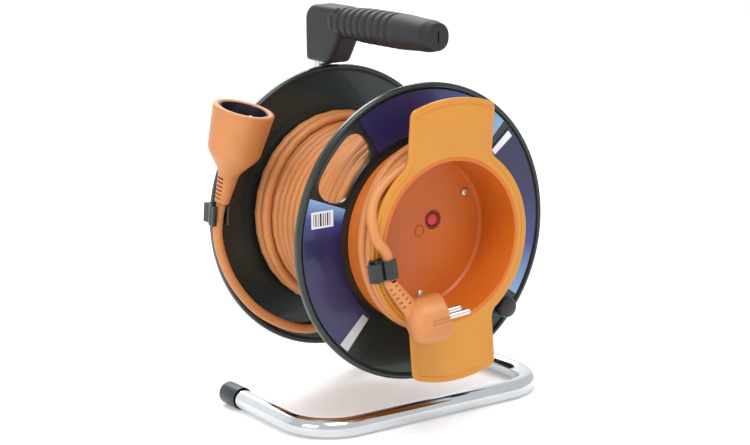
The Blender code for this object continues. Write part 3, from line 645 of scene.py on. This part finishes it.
def make_plug():
    turn = plug_turn()
    profile = [(0.0, 0.0), (0.0176, 0.0), (0.0185, 0.0010), (0.0185, 0.0160), (0.0172, 0.0220),
               (0.0140, 0.0262), (0.0085, 0.0285), (0.0, 0.0292)]
    body = add("plug_moulding", turned(profile, 72, round_off=0.0016), ORANGE, "drum", ["plug_body"],
               turn, PLUG_FACE)
    notches = []
    for side in (-1, 1):
        low, high = sorted((side * 0.0160, side * 0.0200))
        notches.append(box((-0.0032, -0.0020, low), (0.0032, 0.0170, high)))
    for side in (-1, 1):
        low, high = sorted((side * 0.0174, side * 0.0200))
        notches.append(box((low, -0.0020, -0.0020), (high, 0.0150, 0.0020)))
    carve(body, notches, turn=turn, place=PLUG_FACE)
    tip = section_point(CLIP_CHANNEL, HUB_CLIP_ANGLE, 0.0095)
    neck = section_point(CLIP_CHANNEL, HUB_CLIP_ANGLE, 0.0130)
    root = PLUG_FACE - 0.0245 * PLUG_AXIS + 0.0115 * plug_up()
    line = smooth_route([tip, neck, root, root + (root - neck).normalized() * 0.006], 0.001)
    radii = [0.0050 + 0.0022 * (i / (len(line) - 1)) for i in range(len(line))]
    relief = add("plug_relief", sweep(line, radii, 40), ORANGE, "drum")
    along = (root - neck).normalized()
    centres = [(neck.lerp(root, 0.08 + 0.17 * i), 0.0056 + 0.0003 * i) for i in range(5)]
    carve(relief, slots_along(centres, along, SLOTS_FACE))
    pieces = [body, relief]
    for number, side in enumerate((-1, 1), 1):
        pin = [(0.0, -0.0190), (0.0016, -0.0188), (0.0024, -0.0178), (0.0024, -0.0003), (0.0, -0.0003)]
        pieces.append(add(f"pin_{number}", turned(pin, 32, (PIN_OFFSET * side, 0)), NICKEL, "drum",
                          [f"plug_pin_{number}"], turn, PLUG_FACE))
    for name in ("plug_earth_clip_upper", "plug_earth_clip_lower"):
        pieces.append(frame["nodes"][name])
    return pieces


def make_coupler():
    turn = coupler_turn()
    outside = [(0.0243, 0.0), (0.0253, 0.0010), (0.0251, 0.0030), (0.0217, 0.0360), (0.0198, 0.0400),
               (0.0100, 0.0525), (0.0085, 0.0560), (0.0058, COUPLER_RELIEF_END), (0.0, COUPLER_RELIEF_END)]
    inside = [(0.0, 0.0335), (0.0200, 0.0335), (0.0200, 0.0)]
    body = add("coupler_moulding", turned(outside + inside, 96, round_off=0.0018), ORANGE, "coupler_end",
               ["coupler_body"], turn, COUPLER_RIM)
    slots = []
    for i in range(6):
        y = 0.0585 + 0.0034 * i
        for side in (-1, 1):
            low, high = sorted((side * 0.0046, side * 0.0120))
            slots.append(box((low, y, -0.0036), (high, y + 0.0014, 0.0036)))
    carve(body, slots, turn=turn, place=COUPLER_RIM)
    cup = [(0.0188, 0.0008), (0.0197, 0.0008), (0.0197, 0.0332), (0.0, 0.0332), (0.0, 0.0170),
           (0.0188, 0.0170)]
    insert = add("socket_insert", turned(cup, 72, round_off=0.0004), BLACK, "coupler_end",
                 ["coupler_insert"], turn, COUPLER_RIM)
    holes = []
    for side in (-1, 1):
        holes.append(turned([(0.0, 0.010), (0.0030, 0.010), (0.0030, 0.030), (0.0, 0.030)], 32,
                            (PIN_OFFSET * side, 0)))
    carve(insert, holes, turn=turn, place=COUPLER_RIM)
    earth = [(0.0, 0.0030), (0.0016, 0.0032), (0.0024, 0.0045), (0.0024, 0.0167), (0.0, 0.0167)]
    pin = add("earth_pin", turned(earth, 32, (0, -0.0100)), NICKEL, "coupler_end", ["coupler_earth_pin"],
              turn, COUPLER_RIM)
    contacts = [frame["nodes"]["coupler_contact_1"], frame["nodes"]["coupler_contact_2"]]
    return [body, insert, pin] + contacts


# ---- drum ---------------------------------------------------------------------------------------
def flange_profile(inner_radius, side):
    inside = WINDING_WIDTH / 2
    rim = FLANGE_RADIUS
    profile = [(inner_radius, inside), (rim - BEAD, inside), (rim - BEAD + 0.001, inside - 0.0015),
               (rim - 0.0012, inside - 0.0015), (rim, inside), (rim, inside + WEB + 0.0010),
               (rim - 0.0012, inside + WEB + 0.0025), (rim - BEAD + 0.001, inside + WEB + 0.0025),
               (rim - BEAD, inside + WEB), (inner_radius, inside + WEB)]
    return softened([(radius, side * y) for radius, y in profile], 0.0011)


def corner_arc(radius, degrees, corner, start, end):
    centre = polar(radius, degrees)
    return arc((centre.x, centre.z), corner, start, end, 8)


def window_outline(inner, outer, start, end, corner):
    inner_turn = math.degrees(math.asin(corner / (inner + corner)))
    outer_turn = math.degrees(math.asin(corner / (outer - corner)))
    points = arc((0, 0), inner, end - inner_turn, start + inner_turn, 10)
    points += corner_arc(inner + corner, start + inner_turn, corner, start + inner_turn + 180, start + 270)
    points += corner_arc(outer - corner, start + outer_turn, corner, start - 90, start + outer_turn)
    points += arc((0, 0), outer, start + outer_turn, end - outer_turn, 12)
    points += corner_arc(outer - corner, end - outer_turn, corner, end - outer_turn, end + 90)
    points += corner_arc(inner + corner, end - inner_turn, corner, end + 90, end - inner_turn + 180)
    return without_repeats(points)


def without_repeats(points):
    kept = []
    for point in points:
        if not kept or math.dist(point, kept[-1]) > 0.0001:
            kept.append(point)
    if math.dist(kept[0], kept[-1]) < 0.0001:
        kept.pop()
    return kept


def make_flanges():
    add("rear_disc", turned(flange_profile(0.0060, 1), 192), FLANGE, "drum", ["rear_flange"])
    front = turned(flange_profile(NECK_OPENING, -1), 192)
    front = add("front_disc", front, FLANGE, "drum", ["front_flange"])
    carve(front, [plate(window_outline(0.0810, 0.1110, 124, 158, 0.0125), -0.075, -0.055)])


def hub_outline():
    """The ring with its two wings, as one closed (x, z) outline."""
    reach = RING_RADIUS + WING_FILLET
    fillet_x = WING_HALF_WIDTH + WING_FILLET
    fillet = (fillet_x, math.sqrt(reach ** 2 - fillet_x ** 2))
    leave = math.degrees(math.atan2(fillet[1], fillet[0]))
    inner = WING_RADIUS - WING_CORNER
    corner_x = WING_HALF_WIDTH - WING_CORNER
    corner = (corner_x, math.sqrt(inner ** 2 - corner_x ** 2))
    tip = math.degrees(math.atan2(corner[1], corner[0]))
    right = arc(fillet, WING_FILLET, leave + 180, 180, 10) + arc(corner, WING_CORNER, 0, tip, 10)
    crown = arc((0, 0), WING_RADIUS, tip, 180 - tip, 24)
    left = [(-x, z) for x, z in right[::-1]]
    half = arc((0, 0), RING_RADIUS, -leave, leave, 40) + right + crown + left
    return without_repeats(half + [(-x, -z) for x, z in half])


def inset(outline, distance):
    """The closed outline moved inwards; it runs anticlockwise."""
    made = []
    for i, (x, z) in enumerate(outline):
        ahead = Vector(outline[(i + 1) % len(outline)])
        along = (ahead - Vector(outline[i - 1])).normalized()
        made.append((x - along.y * distance, z + along.x * distance))
    return made


def rolled_edge_plate(outline, hole_radius, y0, y1, edge):
    """A plate with rounded edges: the outline steps in at both faces, and a hole goes through."""
    builder = bmesh.new()
    rings = []
    for i in range(5):
        angle = math.radians(90 * i / 4)
        depth = edge * (1 - math.sin(angle))
        rings.append((y0 + depth, edge * (1 - math.cos(angle))))
    profile = rings[::-1] + [(y1 - (y - y0), step) for y, step in rings]
    count = len(outline)
    outer = []
    inner = []
    for y, step in profile:
        outer.append([builder.verts.new((x, y, z)) for x, z in inset(outline, step)])
        circle = []
        for x, z in outline:
            length = math.hypot(x, z)
            circle.append(builder.verts.new((x / length * hole_radius, y, z / length * hole_radius)))
        inner.append(circle)
    for rows in (outer, inner):
        for low, high in zip(rows, rows[1:]):
            for i in range(count):
                j = (i + 1) % count
                builder.faces.new((low[i], low[j], high[j], high[i]))
    for row in (0, -1):
        for i in range(count):
            j = (i + 1) % count
            builder.faces.new((outer[row][i], outer[row][j], inner[row][j], inner[row][i]))
    return builder


def wing_lean(x, z):
    """How far the plate stands forward of the ring at (x, z)."""
    return WING_FLARE * max(0.0, math.hypot(x, z) - RING_RADIUS)


def make_hub():
    back = RIM_Y + PLATE
    outline = hub_outline()
    wings = rolled_edge_plate(outline, NECK_BORE, RIM_Y, back, 0.0011)
    for vertex in wings.verts:
        vertex.co.y -= wing_lean(vertex.co.x, vertex.co.z)
    add("hub_plate", wings, AMBER, "drum", ["winged_hub"])
    bead_line = [Vector((x, RIM_Y + 0.0002 - wing_lean(x, z), z)) for x, z in inset(outline, 0.0040)]
    bead = sweep(bead_line + bead_line[:2], [0.0009] * (len(bead_line) + 2), 12)
    add("hub_plate_bead", bead, AMBER, "drum")
    # the cup takes the painted-shade copy of the hub plastic
    cup = [(0.0, CUP_FLOOR_Y), (0.0036, CUP_FLOOR_Y), (0.0038, CUP_FLOOR_Y - 0.0011),
           (0.0048, CUP_FLOOR_Y - 0.0011), (0.0050, CUP_FLOOR_Y), (0.0595, CUP_FLOOR_Y),
           (0.0614, CUP_FLOOR_Y - 0.0022), (CUP_RADIUS, RIM_Y - 0.0004), (0.0661, RIM_Y - 0.0004),
           (0.0666, RIM_Y + 0.0030), (0.0650, -0.0960), (0.0642, -0.0568), (0.0, -0.0568)]
    shell = add("hub_cup", turned(cup, 192, round_off=0.0005), AMBER_PAINTED_SHADE, "drum")
    recess = turned([(0.0, -0.07), (0.0080, -0.07), (0.0080, -0.05), (0.0, -0.05)], 48, CUTOUT)
    carve(shell, [recess])
    # the neck takes the painted-shade copy of the hub plastic too
    neck = [(NECK_BORE, back - 0.001), (0.0665, back - 0.001), (0.0672, -0.0850), (0.0700, -0.0740),
            (0.0730, -0.0653), (0.0706, -0.0653), (0.0682, -0.0745), (0.0652, -0.0835)]
    add("hub_neck", turned(neck, 192, round_off=0.0008), AMBER_PAINTED_SHADE, "drum")


def cross_recess(centre, y0, y1):
    x, z = centre
    wide, thin = 0.0021, 0.00045
    return [box((x - wide, y0, z - thin), (x + wide, y1, z + thin)),
            box((x - thin, y0, z - wide), (x + thin, y1, z + wide))]


def make_return_spring():
    """The button's coil spring: a helix of wire behind the button."""
    front_y, back_y, coils = -0.0499, -0.0440, 4
    wire, coil_radius = 0.0004, 0.0042
    steps = 36 * coils
    helix = []
    for i in range(steps + 1):
        point = polar(coil_radius, 360.0 * coils * i / steps, front_y + (back_y - front_y) * i / steps)
        helix.append(point + Vector((CUTOUT[0], 0, CUTOUT[1])))
    spring = add("return_spring", sweep(helix, [wire] * len(helix), 12), SPRING, "drum", ["reset_spring"])
    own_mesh(spring)


def make_drum_details():
    for number, degrees in enumerate(SCREW_ANGLES, 1):
        spot = polar(SCREW_CIRCLE, degrees)
        centre = (spot.x, spot.z)
        front = [(0.0, -0.0622), (0.0022, -0.0621), (0.0035, -0.0612), (0.0035, -0.0603),
                 (0.0015, -0.0603), (0.0015, -0.0450), (0.0, -0.0442)]
        screw = add(f"cup_screw_{number}", turned(front, 40, centre, 0.0004), ZINC, "drum",
                    [f"hub_screw_{number}"])
        carve(screw, cross_recess(centre, -0.0630, -0.0612))
        rear = [(0.0, 0.0492), (0.0015, 0.0500), (0.0015, 0.0653), (0.0035, 0.0653), (0.0035, 0.0662),
                (0.0022, 0.0671), (0.0, 0.0672)]
        screw = add(f"disc_screw_{number}", turned(rear, 40, centre, 0.0004), ZINC, "drum",
                    [f"rear_screw_{number}"])
        carve(screw, cross_recess(centre, 0.0662, 0.0680))
    bezel = [(0.0058, -0.0596), (0.0078, -0.0596), (0.0078, -0.0571), (0.0058, -0.0571)]
    # the ring round the button takes the red plastic's darker copy, painted shade in the recess
    add("cutout_ring", turned(bezel, 64, CUTOUT, 0.0005), RED_PAINTED_SHADE, "drum", ["cutout_bezel"])
    button = [(0.0, -0.0606), (0.0042, -0.0604), (0.0053, -0.0596), (0.0053, -0.0505), (0.0030, -0.0505),
              (0.0030, -0.0470), (0.0, -0.0470)]
    add("button_cap", turned(button, 64, CUTOUT, 0.0006), RED, "button", ["reset_button"])
    make_return_spring()
    spot = polar(KNOB_CIRCLE, KNOB_ANGLE)
    knob = [(0.0031, -0.0654), (0.0085, -0.0654), (0.0092, -0.0664), (0.0074, -0.0760), (0.0092, -0.0850),
            (0.0080, -0.0885), (0.0045, -0.0902), (0.0, -0.0906), (0.0, -0.0840), (0.0031, -0.0840)]
    add("knob_grip", turned(knob, 64, (spot.x, spot.z), 0.0010), BLACK, "knob", ["winding_knob"])


def ring_sector(inner, outer, start, end, y0, y1):
    steps = max(2, round(abs(end - start) / 2))
    return plate(arc((0, 0), inner, start, end, steps) + arc((0, 0), outer, end, start, steps), y0, y1)


def make_labels():
    film = (-0.0658, -0.0654)
    print_face = (-0.06595, -0.0658)
    for name, start, end, finish in (("label_top", 45, 122, TOP_FILM), ("label_left", 159, 229, LEFT_FILM),
                                     ("label_right", -35, 41, RIGHT_FILM)):
        add(f"{name}_film", ring_sector(0.0800, 0.1145, start, end, *film), finish, "drum", [name])
    add("strip_white", ring_sector(0.0900, 0.1120, 37.2, 40.4, *print_face), WHITE_FILM, "drum")
    add("strip_silver", ring_sector(0.0830, 0.1135, 224.0, 228.8, *print_face), SILVER_FILM, "drum")
    block = box((-0.1062, print_face[0], 0.0170), (-0.0862, print_face[1], 0.0300))
    add("code_block", block, WHITE_FILM, "drum")
    widths = (0.0006, 0.0011, 0.0006, 0.0016, 0.0008, 0.0006, 0.0012, 0.0006)
    x = -0.1045
    for number, width in enumerate(widths):
        bar = box((x, print_face[0] - 0.0001, 0.0185), (x + width, print_face[0], 0.0285))
        add(f"code_bar_{number}", bar, BLACK, "drum")
        x += width + 0.0012


# ---- stand --------------------------------------------------------------------------------------
def make_stand():
    floor = TUBE_RADIUS - REEL.z
    corners = [
        Vector((0, -0.055, GRIP_Z)),
        Vector((0, POST_Y, GRIP_Z)),
        Vector((0, POST_Y, floor)),
        Vector((FOOT_HALF_WIDTH, POST_Y, floor)),
        Vector((FOOT_HALF_WIDTH, FOOT_FRONT_Y, floor)),
        Vector((-FOOT_HALF_WIDTH, FOOT_FRONT_Y, floor)),
        Vector((-FOOT_HALF_WIDTH, 0.0505, floor + 0.0012)),
    ]
    path = rounded_path(corners, (GRIP_BEND, POST_BEND, FOOT_BEND, FOOT_BEND, FOOT_BEND), 24)
    tube = sweep(path, [TUBE_RADIUS] * len(path), 48)
    add("bent_tube", tube, CHROME, "stand", ["stand_tube"])
    cap_z = 0.0092 - REEL.z
    cap = [(0.0, 0.0530), (0.0078, 0.0530), (0.0092, 0.0516), (0.0092, 0.0290), (0.0087, 0.0290),
           (0.0087, 0.0510), (0.0, 0.0510)]
    add("foot_cap", turned(cap, 64, (-FOOT_HALF_WIDTH, cap_z), 0.0006), BLACK, "stand", ["tube_end_cap"])


# half widths and half heights of the grip's bar at stations along Y, from its front end
GRIP_WIDTH = ((-0.0865, 0.0100), (-0.0850, 0.0112), (-0.0760, 0.0128), (-0.0350, 0.0138), (0.0, 0.0136),
              (0.0400, 0.0128), (0.0700, 0.0105))
GRIP_HEIGHT = ((-0.0865, 0.0100), (-0.0850, 0.0112), (-0.0760, 0.0126), (-0.0350, 0.0142), (0.0, 0.0142),
               (0.0400, 0.0128), (0.0700, 0.0110))


def grip_groove(y):
    """How deep the finger grooves are at y."""
    depth = 0.0
    for number in range(9):
        centre = 0.0430 - 0.0097 * number
        depth += 0.0015 * math.exp(-((y - centre) / 0.0013) ** 2)
    return depth


def make_grip():
    builder = bmesh.new()
    rings = []
    steps = 190
    for i in range(steps + 1):
        y = -0.0865 + 0.1365 * i / steps
        wide = blended(GRIP_WIDTH, y) - grip_groove(y)
        high = blended(GRIP_HEIGHT, y) - grip_groove(y)
        ring = []
        for k in range(56):
            angle = 2 * math.pi * k / 56
            across = math.copysign(abs(math.cos(angle)) ** 0.88, math.cos(angle))
            up = math.copysign(abs(math.sin(angle)) ** 0.88, math.sin(angle))
            ring.append(builder.verts.new((wide * across, y, GRIP_Z + 0.0006 + high * up)))
        rings.append(ring)
    bridge(builder, rings, closed=False)
    back_y = POST_Y + 0.0100
    outline = [(0.0510, 0.1225), (back_y, 0.1225)] + arc((back_y - 0.014, 0.1560), 0.014, 0, 90, 10)
    outline += [(0.0380, 0.1700), (0.0365, 0.1440)]
    outline = softened(outline, 0.0035)
    leg_rings = []
    for x, step in ((-0.0110, 0.0030), (-0.0102, 0.0011), (-0.0082, 0.0), (0.0082, 0.0), (0.0102, 0.0011),
                    (0.0110, 0.0030)):
        leg_rings.append([builder.verts.new((x, y, z)) for y, z in inset(outline, step)])
    bridge(builder, leg_rings, closed=False)
    grip = add("moulded_grip", builder, GRIP, "stand", ["handle_grip"])
    remesh = grip.modifiers.new("mould", "REMESH")
    remesh.mode = "VOXEL"
    remesh.voxel_size = 0.0008
    smooth = grip.modifiers.new("ease", "SMOOTH")
    smooth.factor = 0.5
    smooth.iterations = 5
    apply_modifiers(grip)
    grip.data.materials.clear()
    grip.data.materials.append(GRIP)
    mouth = [Vector((0, POST_Y, 0.110)), Vector((0, POST_Y, 0.130))]
    tube_space = sweep(mouth, [TUBE_RADIUS + 0.0003] * 2, 48)
    slot = box((-0.0007, -0.0880, GRIP_Z - 0.0040), (0.0007, -0.0850, GRIP_Z + 0.0052))
    carve(grip, [tube_space, slot])


# ---- CAD nodes that stay ------------------------------------------------------------------------
KEPT = {
    "axle_bolt": ZINC, "axle_front_washer": ZINC, "axle_rear_washer": ZINC, "axle_nut": ZINC,
    "axle_spacer": NYLON, "barrel": FLANGE, "front_bushing": NYLON, "rear_bushing": NYLON,
    "cutout_housing": BLACK, "terminal_block": GREY, "main_cord_clamp": GREY,
    "plug_cord_clamp": GREY, "knob_pin": ZINC, "lead_outlet": BLACK, "hub_clip": BLACK,
    "coupler_clip": BLACK, "plug_earth_clip_upper": BRASS, "plug_earth_clip_lower": BRASS,
    "coupler_contact_1": BRASS, "coupler_contact_2": BRASS,
}
EASED = {"hub_clip": 0.0006, "coupler_clip": 0.0006, "axle_nut": 0.0006, "lead_outlet": 0.0008}


def finish_kept_nodes():
    for name, finish in KEPT.items():
        node = frame["nodes"][name]
        node.data.materials.clear()
        node.data.materials.append(finish)
        if name in EASED:
            bevel = node.modifiers.new("eased_edges", "BEVEL")
            bevel.width = EASED[name]
            bevel.segments = 3
            bevel.limit_method = "ANGLE"
            bevel.angle_limit = math.radians(28)
            bevel.harden_normals = True


make_camera()
make_studio()
make_cords()
make_flanges()
make_hub()
make_drum_details()
make_labels()
make_stand()
make_grip()
finish_kept_nodes()
